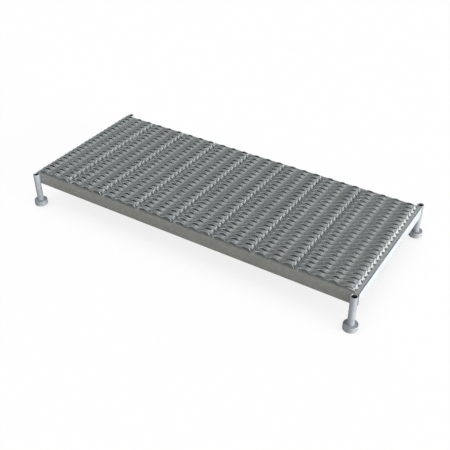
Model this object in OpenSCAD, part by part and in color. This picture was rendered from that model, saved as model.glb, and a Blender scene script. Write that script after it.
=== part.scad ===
// Work platform bench: a low steel platform with a serrated grating deck, an angle
// rail all round and four tubular legs on levelling feet.
// Units are millimetres, +X runs along the length, +Y to the back, +Z up.
// The origin is on the floor under the middle of the platform.

/* [Deck] */
// width of a narrow plank
plank_w = 177.8; // [140:0.1:260]
// width of the wide plank at the right-hand end
wide_plank_w = 241.3; // [190:0.1:330]
// length of every plank, front to back
plank_len = 609.6; // [400:0.1:920]
// spacing of the diamond columns across a plank
col_pitch = 55.7; // [45:0.1:70]
// spacing of the diamond rows along a plank
row_pitch = 26.76; // [20:0.01:36]
// how far the treads stand above the plank's flat edges
strut_rise = 15; // [6:0.5:20]
// drop of the treads where two columns meet
valley_drop = 7; // [2:0.5:12]

/* [Frame] */
// height of the rails
rail_h = 50.8; // [38:0.1:80]
// thickness of the rails
rail_t = 4.76; // [3:0.01:8]
// width of the ledge that carries the planks
ledge_w = 38.1; // [25:0.1:50]

/* [Legs] */
// outside diameter of the leg tubes
tube_od = 26.7; // [25:0.1:34]
// inside diameter of the leg tubes
tube_bore = 22.5; // [20:0.1:23.5]
// length of the leg tubes
tube_len = 127; // [80:1:300]
// length of the threaded insert in a tube's lower end
insert_len = 35; // [15:1:60]
// distance of a leg's axis from the outer face of the end rail
leg_inset = 11.1; // [8:0.1:60]

/* [Feet] */
// diameter of the foot discs
foot_d = 55.2; // [45:0.1:90]
// thickness of the foot discs
foot_h = 22.2; // [19:0.1:35]
// diameter of the levelling studs
stud_d = 16.5; // [14.5:0.1:18]
// how far a foot screws down
foot_travel = 35; // [10:1:40]

/* [Hidden] */
narrow_planks = 7;
sheet_t = 2.7;
tread_t = 5;
flange_w = 20;
tread_flat = 14;
valley_flat = 4;
edge_ramp_in = 6.7;
edge_ramp_out = 2.3;
open_margin = 1.4;
main_open = 0.80;
side_open = 0.62;
side_margin = 5.3;

run_gap = 0.05;
neck_d = 13;
neck_gap = 0.08;
clip_t = 1.5;
clip_d = 19;
clip_core_d = 10.5;
clip_z = 8;
groove_gap = 0.5;
socket_floor = 3;
foot_chamfer = 1.2;
tube_chamfer = 0.8;
insert_gap = 0.02;
stud_chamfer = 1.5;
neck_chamfer = 1;
stud_cover = 40;

weld_leg = 4;
weld_gap = 0.02;
weld_reach = 10;
weld_start = 2;
weld_end_gap = 4;
plank_weld_len = 14;
$fn = 96;

steel = [0.66, 0.68, 0.69];
bright = [0.78, 0.79, 0.80];

inner_len = narrow_planks * plank_w + wide_plank_w;
frame_len = inner_len + 2 * rail_t;
frame_wid = plank_len + 2 * rail_t;
frame_top = foot_h + tube_len;
frame_bot = frame_top - rail_h;
ledge_top = frame_bot + rail_t;
channel_h = frame_top - ledge_top;
leg_x = frame_len / 2 - leg_inset;
leg_y = frame_wid / 2 + tube_od / 2;
stud_len = foot_travel + stud_cover;
narrow_cols = floor((plank_w - 2 * side_margin) / col_pitch);
wide_cols = floor((wide_plank_w - 2 * side_margin) / col_pitch);
rows = round(plank_len / row_pitch);
first_row = (plank_len - rows * row_pitch) / 2;

function plank_x(k) = -inner_len / 2 + k * plank_w;
function right_margin(w, cols) = w - side_margin - cols * col_pitch;
function col_x(i) = side_margin + (i + 0.5) * col_pitch;
function tread_points(i, cols) = [
  [col_x(i) - tread_flat, strut_rise],
  [col_x(i) + tread_flat, strut_rise],
  if (i < cols - 1) [col_x(i) + col_pitch / 2 - valley_flat, strut_rise - valley_drop],
  if (i < cols - 1) [col_x(i) + col_pitch / 2 + valley_flat, strut_rise - valley_drop]
];
function top_line(w, cols) = concat(
  [[0, 0], [side_margin - edge_ramp_out, 0], [side_margin + edge_ramp_in, strut_rise]],
  [for (i = [0 : cols - 1]) each tread_points(i, cols)],
  [[w - right_margin(w, cols) - edge_ramp_in, strut_rise],
   [w - right_margin(w, cols) + edge_ramp_out, 0], [w, 0]]
);
function underside(w, cols) = let (line = top_line(w, cols), last = len(line) - 1) [
  for (i = [last : -1 : 0])
    [min(max(line[i][0], sheet_t), w - sheet_t), line[i][1] - tread_t]
];

// ---- planks ----

// Cross-section of a plank: the rippled tread band, two side walls and their feet.
module plank_section(w, cols) {
  foot_top = sheet_t - channel_h;
  polygon(concat(
    top_line(w, cols),
    [[w, -channel_h], [w - flange_w, -channel_h], [w - flange_w, foot_top], [w - sheet_t, foot_top]],
    underside(w, cols),
    [[sheet_t, foot_top], [flange_w, foot_top], [flange_w, -channel_h], [0, -channel_h]]
  ));
}

// One diamond opening, scaled from the lattice cell.
module diamond(open) {
  a = open * col_pitch / 2;
  b = open * row_pitch / 2;
  polygon([[-a, 0], [0, -b], [a, 0], [0, b]]);
}

// All the openings of a plank, centred along its length and kept clear of its flat edges.
module openings(w, cols) {
  clear_w = cols * col_pitch + 2 * open_margin;
  intersection() {
    translate([side_margin - open_margin, -row_pitch]) square([clear_w, plank_len + 2 * row_pitch]);
    union() {
      for (j = [0 : rows], i = [0 : cols - 1])
        translate([col_x(i), first_row + j * row_pitch]) diamond(main_open);
      for (j = [0 : rows - 1], i = [0 : cols])
        translate([side_margin + i * col_pitch, first_row + (j + 0.5) * row_pitch]) diamond(side_open);
    }
  }
}

// A whole plank with its left edge at x, its front end against the front rail.
module plank(x, w, cols) {
  color(steel)
  translate([x, -plank_len / 2, frame_top])
  difference() {
    translate([0, plank_len, 0]) rotate([90, 0, 0]) linear_extrude(plank_len) plank_section(w, cols);
    translate([0, 0, -2 * tread_t]) linear_extrude(2 * tread_t + strut_rise + 1) openings(w, cols);
  }
}

module plank_1() { plank(plank_x(0), plank_w, narrow_cols); }
module plank_2() { plank(plank_x(1), plank_w, narrow_cols); }
module plank_3() { plank(plank_x(2), plank_w, narrow_cols); }
module plank_4() { plank(plank_x(3), plank_w, narrow_cols); }
module plank_5() { plank(plank_x(4), plank_w, narrow_cols); }
module plank_6() { plank(plank_x(5), plank_w, narrow_cols); }
module plank_7() { plank(plank_x(6), plank_w, narrow_cols); }
module plank_8() { plank(plank_x(7), wide_plank_w, wide_cols); }

// ---- frame ----

// Long rail with its ledge turned in under the plank ends; side is -1 front, +1 back.
module long_rail(side) {
  color(steel)
  mirror([0, side < 0 ? 0 : 1, 0])
  translate([-inner_len / 2, -plank_len / 2, 0]) {
    translate([0, -rail_t, frame_bot]) cube([inner_len, rail_t, rail_h]);
    translate([0, -rail_t, frame_bot]) cube([inner_len, rail_t + ledge_w, rail_t]);
  }
}

// End rail; its ledge runs between the ledges of the long rails.
module end_rail(side) {
  color(steel)
  mirror([side < 0 ? 0 : 1, 0, 0])
  translate([-inner_len / 2, -plank_len / 2, frame_bot]) {
    translate([-rail_t, 0, 0]) cube([rail_t, plank_len, rail_h]);
    translate([-rail_t, ledge_w, 0]) cube([rail_t + ledge_w, plank_len - 2 * ledge_w, rail_t]);
  }
}

module front_rail() { long_rail(-1); }
module back_rail() { long_rail(1); }
module left_end_rail() { end_rail(-1); }
module right_end_rail() { end_rail(1); }

// ---- legs and feet ----

// Outline of a round bar or tube wall with both ends chamfered.
module ring_outline(r_in, r_out, h, c) {
  polygon([[r_in, 0], [r_out - c, 0], [r_out, c], [r_out, h - c], [r_out - c, h], [r_in, h]]);
}

// Places a child on the axis of the leg at the given corner.
module at_leg(sx, sy) {
  translate([sx * leg_x, sy * leg_y, 0]) children();
}

// Tube, open at both ends.
module leg_tube(sx, sy) {
  color(bright)
  at_leg(sx, sy) translate([0, 0, foot_h])
  rotate_extrude() ring_outline(tube_bore / 2, tube_od / 2, tube_len, tube_chamfer);
}

// Threaded insert pressed into the tube's lower end, bored through for the levelling stud.
module leg_insert(sx, sy) {
  color(bright)
  at_leg(sx, sy) translate([0, 0, foot_h])
  rotate_extrude()
    ring_outline(stud_d / 2 + run_gap, tube_bore / 2 - insert_gap, insert_len, tube_chamfer);
}

// Stud: the screwed shank above the disc, the neck in its socket and a groove for the clip.
module foot_stud(sx, sy) {
  r = stud_d / 2;
  n = neck_d / 2;
  g = clip_core_d / 2;
  color(bright)
  at_leg(sx, sy)
  rotate_extrude() polygon([
    [0, socket_floor], [n - neck_chamfer, socket_floor], [n, socket_floor + neck_chamfer], [n, clip_z],
    [g, clip_z], [g, clip_z + clip_t], [n, clip_z + clip_t],
    [n, foot_h], [r, foot_h],
    [r, foot_h + stud_len - stud_chamfer], [r - stud_chamfer, foot_h + stud_len], [0, foot_h + stud_len]
  ]);
}

// Spring clip in the stud's groove; it holds the disc on.
module foot_clip(sx, sy) {
  color(bright)
  at_leg(sx, sy) translate([0, 0, clip_z])
  rotate_extrude() translate([clip_core_d / 2, 0]) square([(clip_d - clip_core_d) / 2, clip_t]);
}

// Disc with a blind socket for the neck and a groove that the clip turns in.
module foot_disc(sx, sy) {
  r = foot_d / 2;
  s = neck_d / 2 + neck_gap;
  g = clip_d / 2 + groove_gap;
  z0 = clip_z - groove_gap;
  z1 = clip_z + clip_t + groove_gap;
  c = foot_chamfer;
  color(steel)
  at_leg(sx, sy)
  rotate_extrude() polygon([
    [0, 0], [r - c, 0], [r, c], [r, foot_h - c], [r - c, foot_h], [s, foot_h],
    [s, z1], [g, z1], [g, z0], [s, z0], [s, socket_floor], [0, socket_floor]
  ]);
}

module leg_tube_front_right() { leg_tube(1, -1); }
module leg_tube_front_left() { leg_tube(-1, -1); }
module leg_tube_back_right() { leg_tube(1, 1); }
module leg_tube_back_left() { leg_tube(-1, 1); }
module leg_insert_front_right() { leg_insert(1, -1); }
module leg_insert_front_left() { leg_insert(-1, -1); }
module leg_insert_back_right() { leg_insert(1, 1); }
module leg_insert_back_left() { leg_insert(-1, 1); }
module foot_stud_front_right() { foot_stud(1, -1); }
module foot_stud_front_left() { foot_stud(-1, -1); }
module foot_stud_back_right() { foot_stud(1, 1); }
module foot_stud_back_left() { foot_stud(-1, 1); }
module foot_clip_front_right() { foot_clip(1, -1); }
module foot_clip_front_left() { foot_clip(-1, -1); }
module foot_clip_back_right() { foot_clip(1, 1); }
module foot_clip_back_left() { foot_clip(-1, 1); }
module foot_disc_front_right() { foot_disc(1, -1); }
module foot_disc_front_left() { foot_disc(-1, -1); }
module foot_disc_back_right() { foot_disc(1, 1); }
module foot_disc_back_left() { foot_disc(-1, 1); }

// ---- welds ----

// Bead on the inner side of a leg tube, filling the groove between the tube and the rail.
module leg_bead(sx, sy) {
  r = tube_od / 2 + weld_gap;
  mirror([sx < 0 ? 1 : 0, 0, 0])
  mirror([0, sy > 0 ? 1 : 0, 0])
  translate([leg_x, -leg_y, frame_bot + weld_start])
  difference() {
    translate([-weld_reach, tube_od / 2 - weld_leg, 0])
      cube([weld_reach - weld_start, weld_leg, rail_h - weld_start - weld_end_gap]);
    translate([0, 0, -1]) cylinder(r = r, h = rail_h);
  }
}

module leg_welds() {
  color(steel) for (sx = [-1, 1], sy = [-1, 1]) leg_bead(sx, sy);
}

// Rounded upright bead in the notch at each corner of the frame.
module corner_welds() {
  color(steel) for (sx = [-1, 1], sy = [-1, 1])
    mirror([sx < 0 ? 1 : 0, 0, 0])
    mirror([0, sy > 0 ? 1 : 0, 0])
    translate([inner_len / 2, -plank_len / 2, frame_bot])
    intersection() {
      cylinder(r = rail_t, h = rail_h);
      translate([0, -rail_t, 0]) cube([rail_t, rail_t, rail_h]);
    }
}

// Fillet under a plank's foot against the edge of a ledge.
module ledge_bead(x) {
  translate([x, -plank_len / 2 + ledge_w, ledge_top]) rotate([90, 0, 90])
  linear_extrude(plank_weld_len) polygon([[0, 0], [weld_leg, 0], [0, -weld_leg]]);
}

module plank_welds() {
  inset = (flange_w - plank_weld_len) / 2;
  color(steel)
  for (m = [0, 1]) mirror([0, m, 0])
    for (k = [0 : narrow_planks]) {
      w = k < narrow_planks ? plank_w : wide_plank_w;
      ledge_bead(plank_x(k) + inset + (k == 0 ? ledge_w : 0));
      ledge_bead(plank_x(k) + w - inset - plank_weld_len - (k == narrow_planks ? ledge_w : 0));
    }
}

plank_1();
plank_2();
plank_3();
plank_4();
plank_5();
plank_6();
plank_7();
plank_8();
front_rail();
back_rail();
left_end_rail();
right_end_rail();
leg_tube_front_right();
leg_tube_front_left();
leg_tube_back_right();
leg_tube_back_left();
leg_insert_front_right();
leg_insert_front_left();
leg_insert_back_right();
leg_insert_back_left();
foot_stud_front_right();
foot_stud_front_left();
foot_stud_back_right();
foot_stud_back_left();
foot_clip_front_right();
foot_clip_front_left();
foot_clip_back_right();
foot_clip_back_left();
foot_disc_front_right();
foot_disc_front_left();
foot_disc_back_right();
foot_disc_back_left();
leg_welds();
corner_welds();
plank_welds();
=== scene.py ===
"""Work platform bench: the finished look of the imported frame.

Eight grating planks lie crosswise in a frame of steel angle that stands on four
tubular legs with levelling feet.  Everything is in metres in the frame's own axes:
+X along the platform, +Y to the back, +Z up, the floor at zero.
"""
import logging
import math
from dataclasses import dataclass, field
from enum import Enum
from typing import Dict, Iterable, List, Optional, Sequence, Tuple

import bpy
import numpy as np
from mathutils import Matrix, Vector


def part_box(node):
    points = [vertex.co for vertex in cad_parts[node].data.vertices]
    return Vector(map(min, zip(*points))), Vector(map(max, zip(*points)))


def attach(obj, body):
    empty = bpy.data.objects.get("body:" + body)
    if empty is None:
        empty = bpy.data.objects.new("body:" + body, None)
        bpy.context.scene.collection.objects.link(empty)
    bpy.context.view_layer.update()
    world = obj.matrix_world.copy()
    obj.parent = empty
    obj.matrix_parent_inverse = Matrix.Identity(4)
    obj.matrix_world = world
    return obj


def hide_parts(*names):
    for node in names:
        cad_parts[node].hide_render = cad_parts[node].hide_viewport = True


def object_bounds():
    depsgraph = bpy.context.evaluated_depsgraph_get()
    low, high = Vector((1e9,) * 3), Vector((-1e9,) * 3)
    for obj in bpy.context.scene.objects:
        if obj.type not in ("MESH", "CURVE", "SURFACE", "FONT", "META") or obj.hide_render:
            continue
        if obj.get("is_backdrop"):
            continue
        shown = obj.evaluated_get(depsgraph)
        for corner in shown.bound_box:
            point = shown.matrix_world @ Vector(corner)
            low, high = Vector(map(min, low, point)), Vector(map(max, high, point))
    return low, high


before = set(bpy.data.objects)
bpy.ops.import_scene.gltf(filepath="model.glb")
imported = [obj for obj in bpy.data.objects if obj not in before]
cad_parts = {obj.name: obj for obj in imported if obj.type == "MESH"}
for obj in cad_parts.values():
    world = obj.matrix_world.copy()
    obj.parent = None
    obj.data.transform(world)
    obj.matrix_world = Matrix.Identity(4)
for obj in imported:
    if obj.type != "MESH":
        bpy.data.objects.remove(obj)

LOG = logging.getLogger("work_platform")

Colour = Tuple[float, float, float]
Bead = Tuple[np.ndarray, np.ndarray, np.ndarray, np.ndarray]
MILLIMETRE = 0.001
PLANKS = 8


class Corner(Enum):
    """The four corners of the frame, each with its side along X and along Y."""

    FRONT_RIGHT = ("front_right", 1, -1)
    FRONT_LEFT = ("front_left", -1, -1)
    BACK_RIGHT = ("back_right", 1, 1)
    BACK_LEFT = ("back_left", -1, 1)

    @property
    def label(self) -> str:
        """Ending of the names of the pieces at this corner."""
        return self.value[0]

    @property
    def sides(self) -> Tuple[int, int]:
        """Signs of X and Y at this corner."""
        return self.value[1], self.value[2]


class Run(Enum):
    """The axis along which a straight piece runs."""

    ALONG_X = 0
    ALONG_Y = 1


class Grain(Enum):
    """Direction of the rolling marks on a steel surface, as scales of X, Y and Z."""

    ALONG_X = (0.08, 1.0, 1.0)
    ALONG_Y = (1.0, 0.08, 1.0)
    ALONG_Z = (1.0, 1.0, 0.08)
    NONE = (1.0, 1.0, 1.0)


class Mixture(Enum):
    """What a Mix node mixes: its data type, its first input and its output of that type."""

    GREY = ("FLOAT", 2, 0)
    COLOUR = ("RGBA", 6, 2)


# ---- finishes ----


@dataclass(frozen=True)
class Bore:
    """Painted shade in the bore of every leg tube, darker with depth under the mouth.

    Attributes:
        axis: Distance of its axis from the middle of the platform, along X and along Y.
        radius: Its radius.
        mouth: Height of its open end.
        shade: Colour of the painted shade inside.
        rim: Shares of the radius from which the shade fades and at which it is gone.
        fade: Depths under the mouth at which the shade starts and is full.
    """

    axis: Tuple[float, float]
    radius: float
    mouth: float
    shade: Colour = (0.17, 0.18, 0.18)
    rim: Tuple[float, float] = (1.01, 1.06)
    fade: Tuple[float, float] = (1.5 * MILLIMETRE, 6.0 * MILLIMETRE)


@dataclass(frozen=True)
class SteelFinish:
    """Zinc-coated steel with crystal patches, rolling marks, painted shade and bright wear with a
    painted sheen.

    Attributes:
        name: Name of the material.
        light: Colour of the bright patches.
        dark: Colour of the dull patches.
        metallic: How metallic the coat is.
        rough: Lowest and highest roughness.
        crystals: Zinc crystals per metre.
        grain: Direction of the rolling marks.
        bump: Depth of the relief in metres.
        wear: Heights at which the bright wear starts and is full, or None.
        worn: Colour of the rubbed bright tips, tinted bluish as a painted sheen.
        worn_rough: Their roughness.
        dust: Heights at which the painted shade is thickest and at which it ends, or None.
        dust_colour: Colour of the painted shade.
        dust_rough: Its roughness.
        dust_cover: Share of the metal that the thickest painted shade hides.
        bore: The painted shade in the piece's bore, or None.
        mix: Shares of patches, crystals and rolling marks in the tone.
        relief: Shares of speckle, rolling marks and crystals in the relief.
    """

    name: str
    light: Colour
    dark: Colour
    metallic: float = 0.45
    rough: Tuple[float, float] = (0.42, 0.62)
    crystals: float = 95.0
    grain: Grain = Grain.NONE
    bump: float = 0.00025
    wear: Optional[Tuple[float, float]] = None
    worn: Colour = (0.56, 0.62, 0.66)
    worn_rough: float = 0.42
    dust: Optional[Tuple[float, float]] = None
    dust_colour: Colour = (0.20, 0.185, 0.16)
    dust_rough: float = 0.85
    dust_cover: float = 0.75
    bore: Optional[Bore] = None
    mix: Tuple[float, float, float] = (0.46, 0.24, 0.30)
    relief: Tuple[float, float, float] = (0.35, 0.40, 0.25)

    def material(self) -> bpy.types.Material:
        """Makes the node material of this finish.

        The tone is a weighted sum of soft patches, crystals and rolling marks, stretched
        over the dull and the bright colour, and the relief is another such sum.  Painted
        shade and wear are laid over it by height, patchily, the wear in a colour with a
        bluish painted sheen, and shade is painted inside the bore.

        Returns:
            The material, made once and found by its name after that.
        """
        found = bpy.data.materials.get(self.name)
        if found is not None:
            return found
        made = bpy.data.materials.new(self.name)
        made.use_nodes = True
        made.diffuse_color = (*self.light, 1.0)
        tree = NodeDesk(made.node_tree)
        shader = made.node_tree.nodes["Principled BSDF"]
        place = tree.add("ShaderNodeTexCoord").outputs["Object"]
        grained = tree.add("ShaderNodeMapping", Scale=self.grain.value)
        tree.join(place, grained.inputs["Vector"])

        patches = tree.noise(place, scale=9.0, detail=4.0, roughness=0.55)
        streaks = tree.noise(grained.outputs["Vector"], scale=420.0, detail=3.0, roughness=0.6)
        speckle = tree.noise(place, scale=900.0, detail=2.0, roughness=0.5)
        crystal = tree.add("ShaderNodeTexVoronoi", Scale=self.crystals, Randomness=1.0)
        tree.join(place, crystal.inputs["Vector"])
        facet = tree.add("ShaderNodeSeparateColor")
        tree.join(crystal.outputs["Color"], facet.inputs["Color"])

        tone = tree.sum_of(zip((patches, facet.outputs[0], streaks), self.mix))
        tone = tree.ramped(tone, low=0.30, high=0.72)
        colour = tree.mixed(tone, self.dark, self.light)
        rough = tree.sum_of([(facet.outputs[1], 0.5), (patches, 0.5)])
        rough = tree.ramped(rough, low=0.2, high=0.8, start=self.rough[0], end=self.rough[1])

        spot = tree.add("ShaderNodeSeparateXYZ")
        tree.join(place, spot.inputs["Vector"])
        # Painted shade, laid by height in patches.
        if self.dust is not None:
            painted_shade_mask = tree.ramped(spot.outputs["Z"], self.dust[1], self.dust[0], end=self.dust_cover)
            painted_shade_mask = tree.product(painted_shade_mask, tree.ramped(patches, low=0.25, high=0.7))
            colour = tree.mixed(painted_shade_mask, colour, self.dust_colour)
            rough = tree.mixed(painted_shade_mask, rough, self.dust_rough, Mixture.GREY)
        # Bright wear on the top, in a colour with a bluish painted sheen.
        if self.wear is not None:
            tip = tree.ramped(spot.outputs["Z"], self.wear[0], self.wear[1])
            tip = tree.product(tip, tree.ramped(speckle, low=0.3, high=0.6, start=0.35))
            colour = tree.mixed(tip, colour, self.worn)
            rough = tree.mixed(tip, rough, self.worn_rough, Mixture.GREY)
        # Painted shade inside the bore.
        if self.bore is not None:
            colour = self._bored(tree, spot, colour)

        relief = tree.sum_of(zip((speckle, streaks, facet.outputs[2]), self.relief))
        bump = tree.add("ShaderNodeBump", Strength=0.55, Distance=self.bump)
        tree.join(relief, bump.inputs["Height"])

        tree.join(colour, shader.inputs["Base Color"])
        tree.join(rough, shader.inputs["Roughness"])
        tree.join(bump.outputs["Normal"], shader.inputs["Normal"])
        shader.inputs["Metallic"].default_value = self.metallic
        shader.inputs["IOR"].default_value = 1.5
        return made

    def _bored(self, tree: "NodeDesk", spot: bpy.types.Node, colour: object) -> object:
        """Paints shade inside the bore, darker with depth.

        A spot is inside where the square of its distance from the axis, measured from the
        middle of the platform with both signs dropped, is under the square of the radius.

        Args:
            tree: The material.
            spot: The node that gives the place of the spot.
            colour: Colour of the metal.

        Returns:
            The colour with the painted shade in the bore.
        """
        squares = []
        for side, middle in zip("XY", self.bore.axis):
            away = tree.maths("SUBTRACT", tree.maths("ABSOLUTE", spot.outputs[side], 0.0), middle)
            squares.append((tree.product(away, away), 1.0))
        within, beyond = ((share * self.bore.radius) ** 2 for share in self.bore.rim)
        inside = tree.ramped(tree.sum_of(squares), beyond, within)
        start, full = (self.bore.mouth - depth for depth in self.bore.fade)
        deep = tree.ramped(spot.outputs["Z"], start, full)
        return tree.mixed(tree.product(inside, deep), colour, self.bore.shade)


class NodeDesk:
    """Short ways to place and join the nodes of one material."""

    def __init__(self, tree: bpy.types.NodeTree) -> None:
        """Keeps the tree that the nodes go in."""
        self.tree = tree

    def add(self, kind: str, **values: object) -> bpy.types.Node:
        """Adds a node.

        Args:
            kind: Blender's name of the node type.
            values: Values of its inputs, by input name.

        Returns:
            The new node.
        """
        node = self.tree.nodes.new(kind)
        for name, value in values.items():
            node.inputs[name].default_value = value
        return node

    def join(self, source: object, target: bpy.types.NodeSocket) -> None:
        """Links an output to an input, or sets the input where the source is a value.

        Args:
            source: An output, a colour or a number.
            target: The input.
        """
        if isinstance(source, bpy.types.NodeSocket):
            self.tree.links.new(source, target)
        elif isinstance(source, tuple):
            target.default_value = (*source, 1.0)
        else:
            target.default_value = source

    def noise(self, place: object, scale: float, detail: float, roughness: float) -> object:
        """Adds a noise texture.

        Args:
            place: Where the noise is read.
            scale: Its cells per metre.
            detail: Its octaves.
            roughness: Strength of each octave in the one before.

        Returns:
            Its grey output.
        """
        node = self.add("ShaderNodeTexNoise", Scale=scale, Detail=detail, Roughness=roughness)
        self.join(place, node.inputs["Vector"])
        return node.outputs["Fac"]

    def maths(self, way: str, first: object, second: object) -> object:
        """Adds a Math node.

        Args:
            way: Blender's name of the operation.
            first: Its first value.
            second: Its second value.

        Returns:
            The output that holds the result.
        """
        node = self.add("ShaderNodeMath")
        node.operation = way
        self.join(first, node.inputs[0])
        self.join(second, node.inputs[1])
        return node.outputs[0]

    def product(self, first: object, second: object) -> object:
        """Returns the product of two grey values."""
        return self.maths("MULTIPLY", first, second)

    def seen(self) -> object:
        """Returns the output that is 1 for rays that come straight or through glass to the eye."""
        path = self.add("ShaderNodeLightPath").outputs
        return self.maths("MAXIMUM", path["Is Camera Ray"], path["Is Transmission Ray"])

    def sum_of(self, parts: Iterable[Tuple[object, float]]) -> object:
        """Returns the weighted sum of grey values.

        Args:
            parts: Pairs of an output and its weight.

        Returns:
            The output that holds the sum.
        """
        (value, weight), *others = parts
        total = self.product(value, weight)
        for value, weight in others:
            node = self.add("ShaderNodeMath")
            node.operation = "MULTIPLY_ADD"
            for number, source in enumerate((value, weight, total)):
                self.join(source, node.inputs[number])
            total = node.outputs[0]
        return total

    def ramped(
        self, value: object, low: float, high: float, start: float = 0.0, end: float = 1.0
    ) -> object:
        """Spreads the values between low and high over start to end, smoothly and clamped.

        Args:
            value: The grey value.
            low: Value that turns into start.
            high: Value that turns into end.
            start: Result up to low.
            end: Result from high on.

        Returns:
            The output that holds the result.
        """
        limits = {"From Min": low, "From Max": high, "To Min": start, "To Max": end}
        node = self.add("ShaderNodeMapRange", **limits)
        node.interpolation_type = "SMOOTHSTEP"
        self.join(value, node.inputs["Value"])
        return node.outputs["Result"]

    def mixed(
        self, share: object, first: object, second: object, kind: Mixture = Mixture.COLOUR
    ) -> object:
        """Mixes two colours, or two grey values.

        Args:
            share: Share of the second in the result.
            first: The result where share is 0.
            second: The result where share is 1.
            kind: Whether they are colours or greys.

        Returns:
            The output that holds the result.
        """
        data_type, socket, output = kind.value
        node = self.add("ShaderNodeMix")
        node.data_type = data_type
        for number, source in ((0, share), (socket, first), (socket + 1, second)):
            self.join(source, node.inputs[number])
        return node.outputs[output]


# ---- surfaces ----


@dataclass
class Skin:
    """Points and faces of one piece, gathered from several closed surfaces."""

    points: List[np.ndarray] = field(default_factory=list)
    faces: List[Sequence[int]] = field(default_factory=list)
    count: int = 0

    def add(self, points: np.ndarray, faces: Sequence[np.ndarray]) -> None:
        """Adds one surface.

        Args:
            points: Its points, any shape that ends in three.
            faces: Arrays of corner numbers, counted from the surface's first point.
        """
        flat = points.reshape(-1, 3)
        for group in faces:
            self.faces.extend((np.asarray(group) + self.count).tolist())
        self.points.append(flat)
        self.count += len(flat)

    def bars(self, rings: np.ndarray) -> None:
        """Adds closed bars, each a row of rings of corners with a cap at both ends.

        The wall between two rings is one quad for each side of the ring.  Rings turn
        anticlockwise seen from the bar's far end, so that the faces point outwards.

        Args:
            rings: Array of bars, rings, corners and coordinates.
        """
        bars, steps, corners, _ = rings.shape
        first = np.arange(bars)[:, None, None] * steps * corners
        ring = np.arange(steps - 1)[None, :, None] * corners
        near = np.arange(corners)[None, None, :]
        far = (near + 1) % corners
        base = first + ring
        walls = np.stack([base + near, base + far, base + far + corners, base + near + corners], -1)
        start = first[:, 0] + np.arange(corners)[None, ::-1]
        end = first[:, 0] + (steps - 1) * corners + np.arange(corners)[None, :]
        self.add(rings, [walls.reshape(-1, 4), start, end])

    def prism(self, outline: np.ndarray, run: Run, start: float, end: float) -> None:
        """Adds a straight bar of any outline.

        Args:
            outline: Corners as (across, height), where across is Y for a bar along X
                and X for a bar along Y.
            run: The axis of the bar.
            start: Where the bar starts on that axis.
            end: Where it ends.
        """
        ahead = np.roll(outline, -1, axis=0)
        area = np.sum(outline[:, 0] * ahead[:, 1] - ahead[:, 0] * outline[:, 1])
        turn = 1.0 if run is Run.ALONG_X else -1.0
        corners = outline if area * turn > 0 else outline[::-1]
        rings = np.empty((1, 2, len(corners), 3))
        other = 1 - run.value
        rings[..., other] = corners[:, 0]
        rings[..., 2] = corners[:, 1]
        rings[0, 0, :, run.value] = start
        rings[0, 1, :, run.value] = end
        self.bars(rings)

    def turned(self, line: np.ndarray, cut: np.ndarray, centre: Tuple[float, float]) -> None:
        """Adds a round body from a closed or pole-to-pole outline.

        The point at angle a of ring i is the centre plus radius times (cos a, sin a), at
        that ring's height, where the radius is the outline's less the cut at that angle.
        The outline runs upwards on the outside.  A body whose first and last radius are
        zero is closed at its poles, and any other is closed ring to ring.

        Args:
            line: The outline, as radius and height of each ring.
            cut: Depth cut off each ring's radius at each angle, as by a thread.
            centre: The axis, as X and Y.
        """
        rings, segments = cut.shape
        angle = np.linspace(0.0, 2.0 * np.pi, segments, endpoint=False)
        radius = line[:, :1] - cut
        height = np.broadcast_to(line[:, 1:], cut.shape)
        points = np.stack(
            [centre[0] + radius * np.cos(angle), centre[1] + radius * np.sin(angle), height], -1
        )
        if line[0, 0] == 0.0 and line[-1, 0] == 0.0:
            inner = points[1:-1]
            count = len(inner)
            cells = _cells(count, segments, False)
            near = np.arange(segments)
            far = (near + 1) % segments
            bottom = np.stack([np.full(segments, count * segments), far, near], -1)
            last = (count - 1) * segments
            top = np.stack([np.full(segments, count * segments + 1), last + near, last + far], -1)
            body = np.concatenate([inner.reshape(-1, 3), points[0, :1], points[-1, :1]])
            self.add(body, [cells, bottom, top])
        else:
            self.add(points, [_cells(rings, segments, True)])

    def piece(self, name: str, finish: SteelFinish, crease: float = 35.0) -> bpy.types.Object:
        """Makes the piece.

        Args:
            name: Name of the object.
            finish: Its surface.
            crease: Edges sharper than this angle in degrees stay sharp.

        Returns:
            The new object, at the origin, unturned and unscaled.
        """
        mesh = bpy.data.meshes.new(name)
        mesh.from_pydata(np.concatenate(self.points).tolist(), [], self.faces)
        mesh.polygons.foreach_set("use_smooth", np.ones(len(mesh.polygons), bool))
        mesh.set_sharp_from_angle(angle=math.radians(crease))
        mesh.update()
        mesh.materials.append(finish.material())
        made = bpy.data.objects.new(name, mesh)
        bpy.context.scene.collection.objects.link(made)
        return made


def _cells(rings: int, segments: int, closed: bool) -> np.ndarray:
    """Numbers the quads of a grid of rings.

    The quad of a point joins it to the next one round its ring and to the two above them.

    Args:
        rings: Number of rings.
        segments: Points in each ring.
        closed: Whether the last ring is joined to the first.

    Returns:
        Four corner numbers for each quad.
    """
    row = np.arange(rings if closed else rings - 1)[:, None]
    near = np.arange(segments)[None, :]
    far = (near + 1) % segments
    above = (row + 1) % rings
    here, there = row * segments, above * segments
    return np.stack([here + near, here + far, there + far, there + near], -1).reshape(-1, 4)


def arc(
    centre: Tuple[float, float], radius: float, start: float, end: float, steps: int = 6
) -> np.ndarray:
    """Works out points on an arc: the centre plus the radius times (cos a, sin a).

    Args:
        centre: Centre of the arc.
        radius: Its radius.
        start: Angle of the first point in degrees.
        end: Angle of the last point.
        steps: Number of points.

    Returns:
        The points, one in each row.
    """
    angle = np.radians(np.linspace(start, end, steps))
    return np.stack([centre[0] + radius * np.cos(angle), centre[1] + radius * np.sin(angle)], -1)


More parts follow.
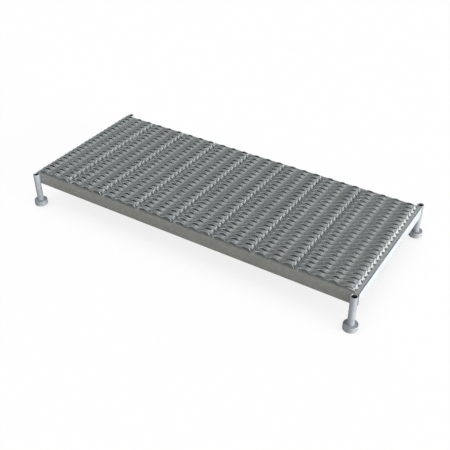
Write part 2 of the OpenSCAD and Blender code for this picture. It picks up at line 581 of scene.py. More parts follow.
def upright(radius: float, heights: np.ndarray) -> np.ndarray:
    """Returns points of one radius at the given heights."""
    return np.stack([np.full(len(heights), radius), heights], -1)


def level(radii: np.ndarray, height: float) -> np.ndarray:
    """Returns points of the given radii at one height."""
    return np.stack([radii, np.full(len(radii), height)], -1)


def corners_of(node: str) -> Tuple[np.ndarray, np.ndarray]:
    """Returns the lowest and highest corner of a node of the frame."""
    low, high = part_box(node)
    return np.array(low), np.array(high)


def place(piece: bpy.types.Object, body: str, slot: str, *nodes: str) -> None:
    """Rides a piece on a body, in the place of the given nodes, and reports it.

    Args:
        piece: The piece.
        body: The body that carries it.
        slot: Its material slot in the record; not used.
        nodes: The nodes that it stands for.
    """
    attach(piece, body)
    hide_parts(*nodes)
    LOG.info("%s rides on %s: %d faces", piece.name, body, len(piece.data.polygons))


# ---- deck ----


@dataclass(frozen=True)
class TreadPattern:
    """The slit and raised strands that make a plank's serrated surface.

    Slits stagger along the plank, and the strips between them are turned nearly on edge.
    Every strip is one wavy ribbon that runs across the plank: it meets the strip behind
    it at one bond and the strip in front of it at the next.  The bonds at the column
    centres stand high and their outer edges carry teeth; those between columns lie lower.
    """

    column_pitch: float = 55.7 * MILLIMETRE  # from one column of openings to the next
    row_pitch: float = 26.76 * MILLIMETRE  # from one row of openings to the next
    margin: float = 5.3 * MILLIMETRE  # width of the flat margin at the plank's left side
    valley_drop: float = 4.0 * MILLIMETRE  # how much lower the strands lie between the columns
    strip_width: float = 13.8 * MILLIMETRE  # width of a strip before it is turned on edge
    sheet: float = 2.0 * MILLIMETRE  # thickness of a strip
    high_span: float = 5.5 * MILLIMETRE  # width of a strip in plan at its high bond
    low_span: float = 8.4 * MILLIMETRE  # width of a strip in plan at its low bond
    narrowing: float = 0.05  # share by which a strip is narrower in plan half-way between bonds
    turn: float = 0.7  # how sharply a strip turns at its bonds
    ramp_in: float = 6.2 * MILLIMETRE  # reach of the end ramps, inwards from the columns' side
    ramp_out: float = 2.0 * MILLIMETRE  # their reach outwards
    bond_gap: float = 1.15 * MILLIMETRE  # half the gap that is left between two strips at a bond
    teeth_per_column: int = 11
    tooth_depth: float = 1.5 * MILLIMETRE
    tooth_power: float = 0.6  # power of the teeth's triangle wave, under 1 for sharp tips
    tooth_start: float = -0.75  # swing of a strip at which its teeth start
    tooth_full: float = -0.25  # swing from which they have their full depth
    samples_per_tooth: int = 4  # stations to a tooth

    def stations(self, columns: int) -> np.ndarray:
        """Works out where across the plank the ribbons have their rings.

        Even steps over the columns, with one place more outside them on either side.

        Args:
            columns: Number of diamond columns.

        Returns:
            The distances from the first column's left side.
        """
        steps = columns * self.teeth_per_column * self.samples_per_tooth
        width = columns * self.column_pitch
        inner = np.linspace(0.0, width, steps + 1)
        return np.concatenate([[-self.ramp_out], inner, [width + self.ramp_out]])

    def lift(self, across: np.ndarray, columns: int, rise: float) -> np.ndarray:
        """Height of the strands' upper edges above the plank's flat edges.

        A cosine wave, highest at the column centres and lower by the valley drop between
        columns, that falls in a straight ramp to nothing at both sides of the plank.

        Args:
            across: Distance from the first column's left side.
            columns: Number of columns.
            rise: Height at the column centres.

        Returns:
            The height at each place.
        """
        width = columns * self.column_pitch
        wave = (1.0 + np.cos(2.0 * np.pi * across / self.column_pitch)) / 2.0
        from_side = np.minimum(across, width - across)
        height = rise - np.where(from_side > self.column_pitch / 2.0, wave, 0.0) * self.valley_drop
        ramp = (from_side + self.ramp_out) / (self.ramp_in + self.ramp_out)
        return height * np.clip(ramp, 0.0, 1.0)

    def ribbons(self, columns: int, rows: int, rise: float) -> np.ndarray:
        """Works out all the ribbons of a plank at once.

        A ribbon's middle line swings between a low bond at -1 and a high bond at 1, as the
        hyperbolic tangent of a cosine.  Its section is a thin slanted rectangle: its width
        in plan goes from the low span to the high span, and its depth is the other side
        of a right triangle on the strip's width.  The upper edge lies next to the big
        openings and is cut into teeth, a triangle wave raised to a power.

        Args:
            columns: Number of diamond columns.
            rows: Number of diamond rows.
            rise: Height of the column centres.

        Returns:
            Rings of four corners: ribbons, stations, corners and (across, along, height),
            with along measured from the first row of big openings.
        """
        across = self.stations(columns)
        wave = np.cos(2.0 * np.pi * across / self.column_pitch)
        swing = np.tanh(-self.turn * wave) / np.tanh(self.turn)
        swing[0] = swing[-1] = -1.0  # the ends outside the columns carry on at the low bond
        high = (1.0 + swing) / 2.0
        low = 1.0 - high
        half_row = self.row_pitch / 2.0
        span = high * self.high_span + low * self.low_span
        span = span * (1.0 - self.narrowing * (1.0 - swing**2))
        depth = np.sqrt(self.strip_width**2 - span**2)
        middle = high * self.high_span / 2.0 + low * (half_row - self.low_span / 2.0)
        lower_edge = np.maximum(middle - span / 2.0, self.bond_gap)
        upper_edge = np.minimum(middle + span / 2.0, half_row - self.bond_gap)

        tooth = (across * self.teeth_per_column / self.column_pitch) % 1.0
        notch = (np.abs(tooth - 0.5) * 2.0) ** self.tooth_power
        toothed = (swing - self.tooth_start) / (self.tooth_full - self.tooth_start)
        height = self.lift(across, columns, rise)
        top = height - self.tooth_depth * np.clip(toothed, 0.0, 1.0) * notch
        bottom = height - depth

        run = upper_edge - lower_edge
        length = np.hypot(run, depth)
        half = self.sheet / 2.0
        side_y, side_z = depth / length * half, run / length * half
        low_y = np.stack([lower_edge + side_y, lower_edge - side_y], -1)
        low_z = np.stack([bottom - side_z, bottom + side_z], -1)
        up_y = np.stack([upper_edge - side_y, upper_edge + side_y], -1)
        up_z = np.stack([top, top - 2.0 * side_z], -1)
        from_bond = np.concatenate([low_y, up_y], -1)
        heights = np.concatenate([low_z, up_z], -1)

        places = np.broadcast_to(across[:, None], from_bond.shape)
        behind = np.stack([places, from_bond, heights], -1)
        ahead = behind * np.array([1.0, -1.0, 1.0])
        pair = np.stack([behind, ahead[:, ::-1]])
        bonds = np.zeros((rows, 1, 1, 1, 3))
        bonds[:, 0, 0, 0, 1] = (np.arange(rows) + 0.5) * self.row_pitch
        return (pair[None] + bonds).reshape(-1, *behind.shape)


@dataclass
class Plank:
    """One grating plank: the serrated surface between two folded side channels.

    The first row of big openings starts at the front end.  The strand behind the last
    bond is cut off, and a flat strip closes both ends.
    """

    number: int  # counted from the left
    pattern: TreadPattern
    finish: SteelFinish
    bend: float = 3.2 * MILLIMETRE  # outer radius of the folds
    foot: float = 20.0 * MILLIMETRE  # width of the feet turned in under the plank
    sheet: float = 2.7 * MILLIMETRE  # thickness of the folded sides
    edge: float = 0.4 * MILLIMETRE  # ease of the feet's edges
    ramp_room: float = 0.8 * MILLIMETRE  # how far the flat margins stop short of the columns
    end_strip: float = 8.0 * MILLIMETRE  # width of the flat strip at the front end

    def _channel(
        self, outer: float, inward: int, margin: float, base: float, top: float
    ) -> np.ndarray:
        """Outline of one folded side: flat margin, rounded bend, wall, bend and foot.

        Args:
            outer: X of the wall's outer face.
            inward: 1 where the plank lies to the right of the wall, -1 to the left.
            margin: Width of the flat margin.
            base: Height of the foot's underside.
            top: Height of the margin.

        Returns:
            The outline as (X, height).
        """
        big, small = self.bend, self.bend - self.sheet
        foot, edge, t = self.foot, self.edge, self.sheet
        outline = np.concatenate([
            [[margin, top]],
            arc((big, top - big), big, 90, 180),
            arc((big, base + big), big, 180, 270),
            [[foot - edge, base], [foot, base + edge]],
            [[foot, base + t - edge], [foot - edge, base + t]],
            arc((big, base + big), small, 270, 180),
            arc((big, top - big), small, 180, 90),
            [[margin, top - t]],
        ])
        outline[:, 0] = outer + inward * outline[:, 0]
        return outline

    def build(self) -> None:
        """Builds the plank from its strands and channels, and puts it in its node's place."""
        node = f"plank_{self.number}"
        low, high = corners_of(node)
        width, length = high[0] - low[0], high[1] - low[1]
        top = corners_of("front_rail")[1][2]
        left, pitch = self.pattern.margin, self.pattern.column_pitch
        columns = int((width - 2.0 * left) // pitch)
        right = width - left - columns * pitch
        rows = int(math.ceil(length / self.pattern.row_pitch))
        rings = self.pattern.ribbons(columns, rows, high[2] - top)
        rings = rings + np.array([low[0] + left, low[1], top])
        rings[..., 1] = np.clip(rings[..., 1], low[1], high[1])
        last_bond = low[1] + (rows - 0.5) * self.pattern.row_pitch
        cut_strand = len(rings) - 2  # the one behind the last bond

        skin = Skin()
        skin.bars(np.delete(rings, cut_strand, axis=0))
        for outer, inward, margin in ((low[0], 1, left), (high[0], -1, right)):
            flat = max(margin - self.ramp_room, self.bend)
            outline = self._channel(outer, inward, flat, low[2], top)
            skin.prism(outline, Run.ALONG_Y, low[1], high[1])
        under = top - self.sheet
        for start, end in ((low[1], low[1] + self.end_strip), (last_bond, high[1])):
            strip = np.array([[start, under], [end, under], [end, top], [start, top]])
            skin.prism(strip, Run.ALONG_X, low[0] + left, high[0] - right)
        piece = skin.piece(f"grating_{node}", self.finish)
        place(piece, "frame", "galvanised_grating", node)


# ---- frame ----


@dataclass
class AngleRail:
    """One rail of rolled steel angle, its ledge turned in under the planks."""

    node: str
    run: Run  # the axis along which it runs
    outward: int  # 1 where its outer face looks along the other axis, -1 where against it
    finish: SteelFinish
    thickness: float = 4.76 * MILLIMETRE
    root: float = 4.5 * MILLIMETRE  # radius in its inner corner
    toe: float = 1.6 * MILLIMETRE  # radius of the inner edges of its two toes
    heel: float = 0.5 * MILLIMETRE  # ease of its heel and of its upper outer edge

    def build(self) -> None:
        """Builds the rail as a prism of the rolled section: square heel, round root and toes."""
        low, high = corners_of(self.node)
        across = 1 - self.run.value
        face = high[across] if self.outward > 0 else low[across]
        reach = high[across] - low[across]
        t, top, base = self.thickness, high[2], low[2]
        ease, toe, root = self.heel, self.toe, self.root
        section = np.concatenate([
            arc((ease, base + ease), ease, 180, 270, 3),
            [[reach, base]],
            arc((reach - toe, base + t - toe), toe, 0, 90),
            arc((t + root, base + t + root), root, 270, 180),
            arc((t - toe, top - toe), toe, 0, 90),
            arc((ease, top - ease), ease, 90, 180, 3),
        ])
        section[:, 0] = face - self.outward * section[:, 0]
        skin = Skin()
        if self.run is Run.ALONG_X:
            skin.prism(section, self.run, low[0], high[0])
        else:
            self._coped(skin, section, low, high)
        piece = skin.piece(f"angle_{self.node}", self.finish)
        place(piece, "frame", "galvanised_rail", self.node)

    def _coped(self, skin: Skin, section: np.ndarray, low: np.ndarray, high: np.ndarray) -> None:
        """Adds an end rail whose ledge is cut back to clear the ledges of the long rails.

        Between the long rails it has the whole section.  Past them only the upright leg
        goes on, whose outline is taken in order of the angle round its middle.

        Args:
            skin: Where the surfaces go.
            section: Outline of the rail.
            low: Lowest corner of the rail.
            high: Highest corner of the rail.
        """
        ledge = corners_of("front_rail")[1][1]
        face = high[0] if self.outward > 0 else low[0]
        depth = np.abs(section[:, 0] - face)
        near = (depth < self.thickness) | np.isclose(depth, self.thickness)
        corner = [[face - self.outward * self.thickness, low[2]]]
        stem = np.concatenate([section[near], corner])
        around = stem - stem.mean(axis=0)
        stem = stem[np.argsort(np.arctan2(around[:, 1], around[:, 0]))]
        skin.prism(section, self.run, ledge, -ledge)
        for start, end in ((low[1], ledge), (-ledge, high[1])):
            skin.prism(stem, self.run, start, end)


@dataclass
class WeldBeads:
    """All the weld beads of one kind, each a row of overlapping scales."""

    node: str
    finish: SteelFinish
    fullness: float = 1.5  # form of their face: flat at 1, round at 2 and square when high
    scale_pitch: float = 2.2 * MILLIMETRE
    ripple: float = 0.14  # share by which a bead is thinner between two scales
    ripple_power: float = 0.7  # power of the ripple's sine, under 1 for narrow valleys
    end_ease: float = 1.2 * MILLIMETRE  # length over which a bead tapers at both ends
    end_size: float = 0.35  # share of its size that is left at its ends
    rings_per_scale: int = 6
    fewest_rings: int = 8  # rings of the shortest bead
    face_points: int = 9  # points across the face

    def _bead(
        self, start: np.ndarray, end: np.ndarray, first: np.ndarray, second: np.ndarray
    ) -> np.ndarray:
        """Works out the rings of one bead.

        The section is a fan with its corner in the joint.  Its face is a quarter of a
        superellipse: the first leg times a power of the cosine plus the second leg times
        the same power of the sine.  Its size pulses along the bead as a power of a sine.

        Args:
            start: Joint corner at the bead's start.
            end: Joint corner at its end.
            first: Vector of the first leg.
            second: Vector of the second leg.

        Returns:
            Array of one bar of rings.
        """
        length = float(np.linalg.norm(end - start))
        steps = max(int(length / self.scale_pitch * self.rings_per_scale), self.fewest_rings)
        along = np.linspace(0.0, 1.0, steps)
        scales = np.abs(np.sin(np.pi * along * length / self.scale_pitch))
        pulse = 1.0 - self.ripple * scales**self.ripple_power
        from_end = np.minimum(along, 1.0 - along) * length
        blunt = np.clip(from_end / self.end_ease, self.end_size, 1.0)
        size = (pulse * blunt)[:, None, None]
        turn = np.linspace(0.0, np.pi / 2.0, self.face_points)[None, :, None]
        power = 2.0 / self.fullness
        fan = size * (np.cos(turn).clip(0.0) ** power * first + np.sin(turn) ** power * second)
        corner = np.zeros((steps, 1, 3))
        line = (start + along[:, None] * (end - start))[:, None, :]
        rings = np.concatenate([corner, fan], 1) + line
        handed = np.dot(np.cross(first, second), end - start)
        return (rings if handed > 0 else rings[:, ::-1])[None]

    def build(self, beads: Sequence[Bead]) -> None:
        """Builds the beads as one piece in their node's place.

        Args:
            beads: Start, end, first leg and second leg of each bead.
        """
        skin = Skin()
        for bead in beads:
            skin.bars(self._bead(*bead))
        piece = skin.piece(f"beads_{self.node}", self.finish, crease=60.0)
        place(piece, "frame", "galvanised_weld", self.node)


@dataclass
class WeldPlan:
    """Where the welds of the frame lie, from the pieces that they join.

    The corner welds are nearly square and smooth, flush with the rails' faces, and the
    others are left as laid.  A bead is its start, its end and its two legs.  Their finish
    is dark, partly the weld metal's own colour and partly painted shade in the seams.
    """

    finish: SteelFinish
    leg: float = 4.0 * MILLIMETRE  # leg of a plank bead
    groove_reach: float = 0.45  # share of that leg by which a bead at a tube reaches along the rail
    groove_depth: float = 0.8  # share of that leg by which it stands off the rail
    groove_place: float = 0.62  # its distance from the tube's axis, as a share of the tube's radius
    foot: float = 20.0 * MILLIMETRE  # width of the planks' feet
    plank_bead: float = 14.0 * MILLIMETRE  # length of a plank bead

    def build(self) -> None:
        """Builds the corner, leg and plank beads."""
        WeldBeads("corner_welds", self.finish, fullness=7.0, ripple=0.015).build(self._corner())
        WeldBeads("leg_welds", self.finish, ripple=0.10).build(self._leg())
        WeldBeads("plank_welds", self.finish).build(self._plank())

    def _corner(self) -> List[Bead]:
        """Upright beads that fill the notches between the long rails and the end rails.

        Returns:
            One bead for each corner of the frame.
        """
        low, high = corners_of("corner_welds")
        size = corners_of("right_end_rail")[1][0] - corners_of("front_rail")[1][0]
        beads = []
        for corner in Corner:
            side_x, side_y = corner.sides
            x, y = side_x * (high[0] - size), side_y * (high[1] - size)
            beads.append((
                np.array([x, y, low[2]]),
                np.array([x, y, high[2]]),
                np.array([side_x * size, 0, 0]),
                np.array([0, side_y * size, 0]),
            ))
        return beads

    def _leg(self) -> List[Bead]:
        """Upright beads in the grooves between the leg tubes and the rails.

        Returns:
            One bead for each leg tube.
        """
        low, high = corners_of("leg_welds")
        tube_low, tube_high = corners_of("leg_tube_front_right")
        axis = (tube_low[0] + tube_high[0]) / 2.0
        rail = corners_of("back_rail")[1][1]
        outer = tube_high[0] - axis
        beads = []
        for corner in Corner:
            side_x, side_y = corner.sides
            x, y = side_x * (axis - self.groove_place * outer), side_y * rail
            beads.append((
                np.array([x, y, low[2]]),
                np.array([x, y, high[2]]),
                np.array([-side_x * self.leg * self.groove_reach, 0, 0]),
                np.array([0, side_y * self.leg * self.groove_depth, 0]),
            ))
        return beads

    def _plank(self) -> List[Bead]:
        """Short fillets under the planks' feet, against the edges of the ledges.

        Returns:
            Four beads for each plank, two at either end.
        """
        under = corners_of("plank_welds")[1][2]
        ledge = corners_of("front_rail")[1][1]
        end_ledge = corners_of("front_rail")[1][0] - corners_of("right_end_rail")[0][0]
        inset = (self.foot - self.plank_bead) / 2.0
        beads = []
        for number in range(1, PLANKS + 1):
            low, high = corners_of(f"plank_{number}")
            left = low[0] + inset + (end_ledge if number == 1 else 0.0)
            right = high[0] - inset - self.plank_bead - (end_ledge if number == PLANKS else 0.0)
            for x in (left, right):
                for side in (1, -1):
                    beads.append((
                        np.array([x, side * ledge, under]),
                        np.array([x + self.plank_bead, side * ledge, under]),
                        np.array([0, side * self.leg, 0]),
                        np.array([0, 0, -self.leg]),
                    ))
        return beads


# ---- legs and feet ----


@dataclass
class Leg:
    """One leg: the tube, the insert in it, the levelling stud, its clip and its foot disc."""

    corner: Corner
    tube_finish: SteelFinish
    stud_finish: SteelFinish
    clip_finish: SteelFinish
    disc_finish: SteelFinish
    thread_pitch: float = 2.0 * MILLIMETRE
    thread_depth: float = 0.85 * MILLIMETRE
    thread_flat: Tuple[float, float] = (1.25, 0.1)  # slope and drop that flatten its wave
    bore_rings: int = 8  # rings to a turn of the insert's thread
    shank_rings: int = 6  # rings to a turn of the stud's thread
    wall_rings: int = 12  # rings of a plain bore
    press_gap: float = 0.02 * MILLIMETRE  # gap between the tube and the insert pressed into it
    run_gap: float = 0.05 * MILLIMETRE  # gap between pieces that turn on each other
    tube_rim: float = 0.7 * MILLIMETRE  # radius of the tube's rims
    insert_rim: float = 0.5 * MILLIMETRE  # radius of the insert's rims
    neck: float = 6.5 * MILLIMETRE  # radius of the stud's plain neck
    core: float = 5.2 * MILLIMETRE  # radius of the neck in the clip's groove
    chamfer: float = 1.5 * MILLIMETRE  # at the stud's upper end
    shoulder_ease: float = 0.3 * MILLIMETRE  # chamfer under the stud's thread
    neck_ease: float = 1.0 * MILLIMETRE  # chamfer at the stud's lower end
    groove_slack: float = 0.04 * MILLIMETRE  # room between the groove's walls and the clip
    groove_ease: float = 0.01 * MILLIMETRE  # chamfer of the groove's edges
    socket: float = 6.58 * MILLIMETRE  # radius of the disc's blind socket
    clip_room: float = 0.5 * MILLIMETRE  # round the clip in the disc, and at the socket's mouth
    disc_round: float = 1.6 * MILLIMETRE  # radius of the disc's edges
    segments: int = 72  # points round each ring

    def build(self) -> None:
        """Builds the tube, insert, stud and disc of this corner and dresses its clip."""
        self._tube()
        self._stud()
        self._disc()
        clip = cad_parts[f"foot_clip_{self.corner.label}"]
        clip.data.materials.clear()
        clip.data.materials.append(self.clip_finish.material())

    def _box(self, kind: str) -> Tuple[np.ndarray, np.ndarray, float]:
        """Returns the lowest and highest corner of this leg's node of a kind, and its radius."""
        low, high = corners_of(f"{kind}_{self.corner.label}")
        return low, high, (high[0] - low[0]) / 2.0

    def _turned(
        self,
        name: str,
        line: np.ndarray,
        finish: SteelFinish,
        first: int = 0,
        thread: Optional[np.ndarray] = None,
    ) -> bpy.types.Object:
        """Makes a piece by turning an outline round the leg's axis.

        Args:
            name: Name of the piece.
            line: The outline, as radius and height of each ring.
            finish: Its coat.
            first: The first ring of its thread.
            thread: Depth by which the thread takes off the radius of each ring from there
                on, at each angle, or None.  It is negative in a bore.

        Returns:
            The piece.
        """
        cuts = np.zeros((len(line), self.segments))
        if thread is not None:
            cuts[first:first + len(thread)] = thread
        low, high, _ = self._box("leg_tube")
        axis = (low[:2] + high[:2]) / 2.0
        skin = Skin()
        skin.turned(line, cuts, (float(axis[0]), float(axis[1])))
        return skin.piece(name, finish)

    def _thread(self, height: np.ndarray, start: float, end: float) -> np.ndarray:
        """Depth of a screw thread over a grid of heights and angles.

        A triangle wave of height over pitch less the angle over a full turn, with flat
        crests and roots, which fades out over one pitch at both ends.

        Args:
            height: Height of each ring.
            start: Height at which the thread starts.
            end: Height at which it ends.

        Returns:
            Depth of each ring at each angle.
        """
        angle = np.linspace(0.0, 1.0, self.segments, endpoint=False)
        turns = height[:, None] / self.thread_pitch - angle[None, :]
        wave = np.abs((turns % 1.0) - 0.5) * 2.0
        slope, drop = self.thread_flat
        fade = np.clip(np.minimum(height - start, end - height) / self.thread_pitch, 0.0, 1.0)
        return self.thread_depth * np.clip(wave * slope - drop, 0.0, 1.0) * fade[:, None]

    def _sleeve(self, kind: str, bore: float, rim: float, rings: int) -> np.ndarray:
        """Outline of a round sleeve in its node's box.

        It runs up the outer wall between two rounded rims, and down the bore between two
        chamfers.  The rings of the bore end one before its last.

        Args:
            kind: The kind of node that the sleeve stands for.
            bore: Radius of the bore.
            rim: Radius of the rounded rims.
            rings: Number of rings in the bore.

        Returns:
            The outline, as radius and height.
        """
        low, high, outer = self._box(kind)
        base, top = low[2], high[2]
        ease = 0.5 * rim
        return np.concatenate([
            arc((outer - rim, base + rim), rim, -90, 0, 5),
            upright(outer, np.linspace(base + 4 * rim, top - 4 * rim, 8)),
            arc((outer - rim, top - rim), rim, 0, 90, 5),
            [[bore + ease, top]],
            upright(bore, np.linspace(top - 1.5 * ease, base + 1.5 * ease, rings)),
            [[bore + ease, base]],
        ])

    def _tube(self) -> None:
        """Builds the leg tube, an open thin-walled pipe, and the tapped insert in its foot."""
        label = self.corner.label
        low, high, press = self._box("leg_insert")
        line = self._sleeve("leg_tube", press + self.press_gap, self.tube_rim, self.wall_rings)
        piece = self._turned(f"pipe_leg_tube_{label}", line, self.tube_finish)
        place(piece, "frame", "galvanised_tube", f"leg_tube_{label}")

        rings = int((high[2] - low[2]) / self.thread_pitch * self.bore_rings)
        bore = self._box("foot_stud")[2] + self.run_gap
        line = self._sleeve("leg_insert", bore, self.insert_rim, rings)
        first = len(line) - 1 - rings
        ease = 0.5 * self.insert_rim
        thread = -self._thread(line[first:-1, 1], low[2] + ease, high[2] - ease)
        piece = self._turned(f"tapped_leg_insert_{label}", line, self.stud_finish, first, thread)
        place(piece, "frame", "zinc_stud", f"leg_insert_{label}")

    def _stud(self) -> None:
        """Builds the levelling stud: threaded shank, plain neck and the groove for its clip."""
        low, high, shank = self._box("foot_stud")
        shoulder = self._box("foot_disc")[1][2]
        clip_low, clip_high, _ = self._box("foot_clip")
        neck, core, ease = self.neck, self.core, self.neck_ease
        inner, outer = self.groove_slack, self.groove_slack + self.groove_ease
        steps = self.shank_rings * int((high[2] - shoulder) / self.thread_pitch)
        heights = np.linspace(shoulder + self.shoulder_ease, high[2] - self.chamfer, steps)
        foot = np.array([
            [0.0, low[2]], [neck - ease, low[2]], [neck, low[2] + ease],
            [neck, clip_low[2] - outer], [core, clip_low[2] - inner],
            [core, clip_high[2] + inner], [neck, clip_high[2] + outer],
            [neck, shoulder], [shank - self.shoulder_ease, shoulder],
        ])
        tip = [[shank - self.chamfer, high[2]], [0.0, high[2]]]
        line = np.concatenate([foot, upright(shank, heights), tip])
        start = shoulder + self.thread_pitch / 2.0
        thread = self._thread(heights, start, high[2] + 2 * self.chamfer)
        label = self.corner.label
        piece = self._turned(f"screw_foot_stud_{label}", line, self.stud_finish, len(foot), thread)
        place(piece, f"stud_{label}", "zinc_stud", f"foot_stud_{label}")

    def _disc(self) -> None:
        """Builds the foot disc: cast, with rounded edges, a flat top and a blind socket."""
        low, high, outer = self._box("foot_disc")
        clip_low, clip_high, clip = self._box("foot_clip")
        base, top = low[2], high[2] - self.run_gap
        floor = self._box("foot_stud")[0][2] - self.run_gap
        socket, room, edge = self.socket, self.clip_room, self.disc_round
        groove = clip + room
        line = np.concatenate([
            [[0.0, base]],
            level(np.linspace(0.3, 0.9, 4) * outer, base),
            arc((outer - edge, base + edge), edge, -90, 0, 6),
            upright(outer, np.linspace(base + 2 * edge, top - 2 * edge, 4)),
            arc((outer - edge, top - edge), edge, 0, 90, 6),
            level(np.linspace(0.9, 0.5, 4) * outer, top),
            [[socket + room, top], [socket, top - room]],
            [[socket, clip_high[2] + room], [groove, clip_high[2] + room]],
            [[groove, clip_low[2] - room], [socket, clip_low[2] - room]],
            [[socket, floor], [0.0, floor]],
        ])
        label = self.corner.label
        piece = self._turned(f"cast_foot_disc_{label}", line, self.disc_finish)
        place(piece, f"disc_{label}", "cast_foot", f"foot_disc_{label}")


# ---- studio ----


@dataclass
class Studio:
    """Pale floor, plain soft light and the camera."""

    eye: Tuple[float, float, float] = (1.33024, -2.06165, 1.74225)  # place of the camera
    azimuth: float = 32.547  # turn of the camera about the upright, in degrees
    elevation: float = 35.926  # how far it looks down, in degrees
    roll: float = -0.324  # its turn about its own line of sight, in degrees
    lens: float = 56.475  # focal length in millimetres
    sensor: float = 36.0  # width of the sensor in millimetres
    clip: Tuple[float, float] = (0.05, 60.0)  # nearest and farthest distance that is shown
    sky: float = 0.42  # strength of the surroundings as light
    sky_in_metal: float = 0.45  # their strength as the metal mirrors them
    sun: float = 3.35  # strength of the lamp
    sun_softness: float = 26.0  # width of the lamp in degrees
    sun_azimuth: float = 0.0  # direction of the lamp from +X, in degrees
    sun_elevation: float = 12.0  # its height over the horizon, in degrees
    floor_size: float = 30.0  # length of the floor's sides
    floor_tone: float = 0.6  # grey of the floor as the other surfaces see it
    floor_rough: float = 0.9  # its roughness
    floor_shown: float = 0.9  # share of plain white in the floor as the camera sees it
    contact_reach: float = 0.3  # reach of the painted contact shade that the object's nearness lays on the floor
    contact_samples: int = 12  # rays that measure how open a spot is
    contact_span: Tuple[float, float] = (0.35, 0.8)  # openness with full and with no painted shade
    contact_levels: Tuple[float, float] = (0.90, 1.06)  # strength of the white at those two, lower in the painted shade
    # how far the painted shadow under the deck is moved off the low and the high side, in X and in
    # Y
    shadow_shift: Tuple[Tuple[float, float], ...] = ((-0.10, -0.085), (0.16, 0.145))
    shadow_edge: float = 0.05  # width of its soft edge
    under_deck: float = 0.09  # strength of the white in the painted shadow

    def build(self) -> None:
        """Sets the floor, the world, the lamp, the camera and the plain view transform."""
        self._floor()
        self._world()
        self._lamp()
        self._camera()
        bpy.context.scene.view_settings.view_transform = "Standard"

    def _floor(self) -> None:
        """Makes the floor: white to the eye, pale to light, with painted shade near the object and
        a painted shadow under the deck.
        """
        half = self.floor_size / 2.0
        mesh = bpy.data.meshes.new("floor")
        corners = [(-half, -half, 0.0), (half, -half, 0.0), (half, half, 0.0), (-half, half, 0.0)]
        mesh.from_pydata(corners, [], [(0, 1, 2, 3)])
        material = bpy.data.materials.new("pale_floor")
        material.use_nodes = True
        desk = NodeDesk(material.node_tree)
        nodes = material.node_tree.nodes
        shader = nodes["Principled BSDF"]
        desk.join((self.floor_tone,) * 3, shader.inputs["Base Color"])
        desk.join(self.floor_rough, shader.inputs["Roughness"])
        # Painted contact shade: the white to the eye is turned down where the object hems the floor
        # in.
        near = desk.add("ShaderNodeAmbientOcclusion", Distance=self.contact_reach)
        near.samples = self.contact_samples
        strength = desk.ramped(near.outputs["AO"], *self.contact_span, *self.contact_levels)
        # Painted shadow under the deck, by place on the floor.
        strength = desk.mixed(self._covered(desk), strength, self.under_deck, Mixture.GREY)
        white = desk.add("ShaderNodeEmission", Color=(1.0, 1.0, 1.0, 1.0))
        desk.join(strength, white.inputs["Strength"])
        mix = nodes.new("ShaderNodeMixShader")
        desk.join(desk.product(desk.seen(), self.floor_shown), mix.inputs[0])
        desk.join(shader.outputs[0], mix.inputs[1])
        desk.join(white.outputs[0], mix.inputs[2])
        desk.join(mix.outputs[0], nodes["Material Output"].inputs["Surface"])
        mesh.materials.append(material)
        floor = bpy.data.objects.new("floor", mesh)
        bpy.context.scene.collection.objects.link(floor)
        floor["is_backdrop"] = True

    def _covered(self, desk: NodeDesk) -> object:
        """Painted shadow of the deck on the floor, by place on the floor.

        A soft-edged rectangle, about the platform's own and moved to the left and the
        back.  It is placed by these shifts and doesn't follow the lamp.

        Args:
            desk: The floor's material.

        Returns:
            The output that is 1 in the painted shadow and 0 outside it.
        """
        where = desk.add("ShaderNodeSeparateXYZ")
        desk.join(desk.add("ShaderNodeTexCoord").outputs["Object"], where.inputs["Vector"])
        low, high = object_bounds()
        share = 1.0
        for number, (axis, shifts) in enumerate(zip("XY", self.shadow_shift)):
            for corner, shift, inward in zip((low, high), shifts, (1.0, -1.0)):
                side = corner[number] + shift
                edge = desk.ramped(where.outputs[axis], side, side + inward * self.shadow_edge)
                share = desk.product(share, edge)
        return share

    def _world(self) -> None:
        """Makes the surroundings: white to the eye, softer in the metal, plain as light."""
        world = bpy.data.worlds.new("studio")
        world.use_nodes = True
        desk = NodeDesk(world.node_tree)
        background = world.node_tree.nodes["Background"]
        desk.join((1.0, 1.0, 1.0), background.inputs["Color"])
        glossy = desk.add("ShaderNodeLightPath").outputs["Is Glossy Ray"]
        metal = desk.product(glossy, self.sky_in_metal)
        strength = desk.maths("MAXIMUM", desk.seen(), metal)
        strength = desk.maths("MAXIMUM", strength, self.sky)
        desk.join(strength, background.inputs["Strength"])
        bpy.context.scene.world = world

    def _lamp(self) -> None:
        """Hangs the broad key light low on the right."""
        lamp = bpy.data.lights.new("key_light", "SUN")
        lamp.energy = self.sun
        lamp.angle = math.radians(self.sun_softness)
        hung = bpy.data.objects.new("key_light", lamp)
        bpy.context.scene.collection.objects.link(hung)
        azimuth, elevation = math.radians(self.sun_azimuth), math.radians(self.sun_elevation)
        out = math.cos(elevation)
        towards = Vector((out * math.cos(azimuth), out * math.sin(azimuth), math.sin(elevation)))
        hung.rotation_euler = towards.to_track_quat("Z", "Y").to_euler()

    def _camera(self) -> None:
        """Sets the camera in front of the right-hand corner, looking down on the deck."""
        lens = bpy.data.cameras.new("camera")
        lens.sensor_width = self.sensor
        lens.lens = self.lens
        lens.clip_start, lens.clip_end = self.clip
        camera = bpy.data.objects.new("camera", lens)
        turn = (
            Matrix.Rotation(math.radians(self.azimuth), 4, "Z")
            @ Matrix.Rotation(math.radians(90.0 - self.elevation), 4, "X")
            @ Matrix.Rotation(math.radians(self.roll), 4, "Z")
        )
        camera.matrix_world = Matrix.Translation(self.eye) @ turn
        bpy.context.scene.collection.objects.link(camera)
        bpy.context.scene.camera = camera


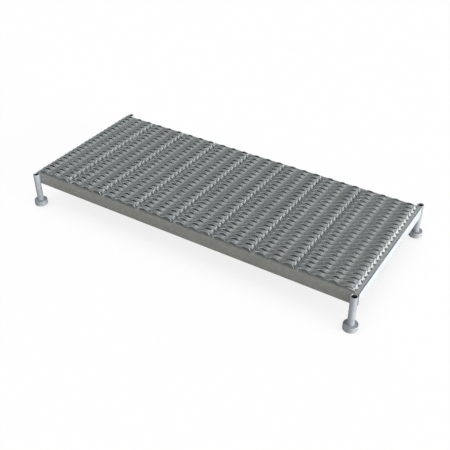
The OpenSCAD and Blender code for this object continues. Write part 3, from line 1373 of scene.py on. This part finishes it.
def finishes() -> Dict[str, SteelFinish]:
    """Chooses the finishes, with the heights of wear and painted shade and the bore's painted shade
    taken from the frame.

    Returns:
        The finishes of the platform, by what they cover.
    """
    low, high = corners_of("leg_insert_front_right")
    mouth = corners_of("leg_tube_front_right")[1][2]
    axis = ((low[0] + high[0]) / 2.0, -(low[1] + high[1]) / 2.0)
    # painted shade inside the leg tubes, centred on the insert's axis
    bore = Bore(axis, radius=(high[0] - low[0]) / 2.0, mouth=mouth)
    deck, rail, disc = (
        corners_of(node)[1][2] for node in ("plank_1", "front_rail", "foot_disc_front_right")
    )

    def under(top: float, first: float, second: float) -> Tuple[float, float]:
        """Returns two heights, given in millimetres under a top."""
        return top - first * MILLIMETRE, top - second * MILLIMETRE

    return {
        "grating": SteelFinish(
            "dipped_grating", (0.52, 0.55, 0.545), (0.41, 0.435, 0.43), metallic=0.25,
            # bright wear on the top 4.2 mm of the grating, its colour tinted bluish as a painted
            # sheen
            rough=(0.54, 0.66), grain=Grain.ALONG_Y, wear=under(deck, 4.2, 0.0),
            # painted shade on the grating, darker from 12 mm under the deck's top downwards
            dust=under(deck, 24.2, 12.2), dust_colour=(0.25, 0.295, 0.32),
        ),
        # long rails: a darker copy of the same galvanised angle, painted shade for faces that look
        # away from the lamp
        "rail": SteelFinish(
            "long_rail_painted_shade", (0.515, 0.515, 0.485), (0.42, 0.42, 0.39), metallic=0.4,
            grain=Grain.ALONG_X,
        ),
        # end rails: a lighter, bluish copy of the same galvanised angle, painted light for the face
        # that the lamp lights
        "end_rail": SteelFinish(
            "end_rail_painted_light", (0.74, 0.79, 0.81), (0.66, 0.71, 0.73), metallic=0.15,
            # painted shade on the top edge of the end rails
            grain=Grain.ALONG_Y, dust=under(rail, 0.1, 0.8), dust_colour=(0.19, 0.235, 0.26),
        ),
        "tube": SteelFinish(
            "dipped_tube", (0.67, 0.72, 0.76), (0.57, 0.615, 0.65), metallic=0.4,
            rough=(0.3, 0.45), grain=Grain.ALONG_Z, bore=bore,
        ),
        # welds: darker than the coat, partly their own colour and partly painted shade in the seams
        "weld": SteelFinish(
            "weld_with_painted_seam_shade", (0.27, 0.29, 0.30), (0.19, 0.21, 0.22), metallic=0.5, crystals=240.0,
        ),
        "stud": SteelFinish(
            "plated_stud", (0.66, 0.67, 0.70), (0.52, 0.53, 0.56), metallic=0.85,
            rough=(0.24, 0.4), bump=0.0001,
        ),
        "clip": SteelFinish(
            "sprung_clip", (0.40, 0.41, 0.43), (0.30, 0.31, 0.33), metallic=0.9,
            rough=(0.3, 0.45), bump=0.0001,
        ),
        "disc": SteelFinish(
            "dipped_casting", (0.64, 0.675, 0.70), (0.50, 0.53, 0.555), metallic=0.35,
            # painted shade on the disc's flat top
            bump=0.0005, crystals=160.0, dust=under(disc, 0.1, 0.8), dust_colour=(0.22, 0.24, 0.26),
        ),
    }


def main() -> None:
    """Builds every sub-assembly in order and reports each piece."""
    logging.basicConfig(level=logging.INFO, format="%(name)s: %(message)s")
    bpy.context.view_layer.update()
    coat = finishes()
    pattern = TreadPattern()
    for number in range(1, PLANKS + 1):
        Plank(number, pattern, coat["grating"]).build()
    AngleRail("front_rail", Run.ALONG_X, -1, coat["rail"]).build()
    AngleRail("back_rail", Run.ALONG_X, 1, coat["rail"]).build()
    # The end rails take the lighter copy of the rail finish, painted light.
    AngleRail("left_end_rail", Run.ALONG_Y, -1, coat["end_rail"]).build()
    AngleRail("right_end_rail", Run.ALONG_Y, 1, coat["end_rail"]).build()
    WeldPlan(coat["weld"]).build()
    for corner in Corner:
        Leg(corner, coat["tube"], coat["stud"], coat["clip"], coat["disc"]).build()
    Studio().build()


if __name__ == "__main__":
    main()
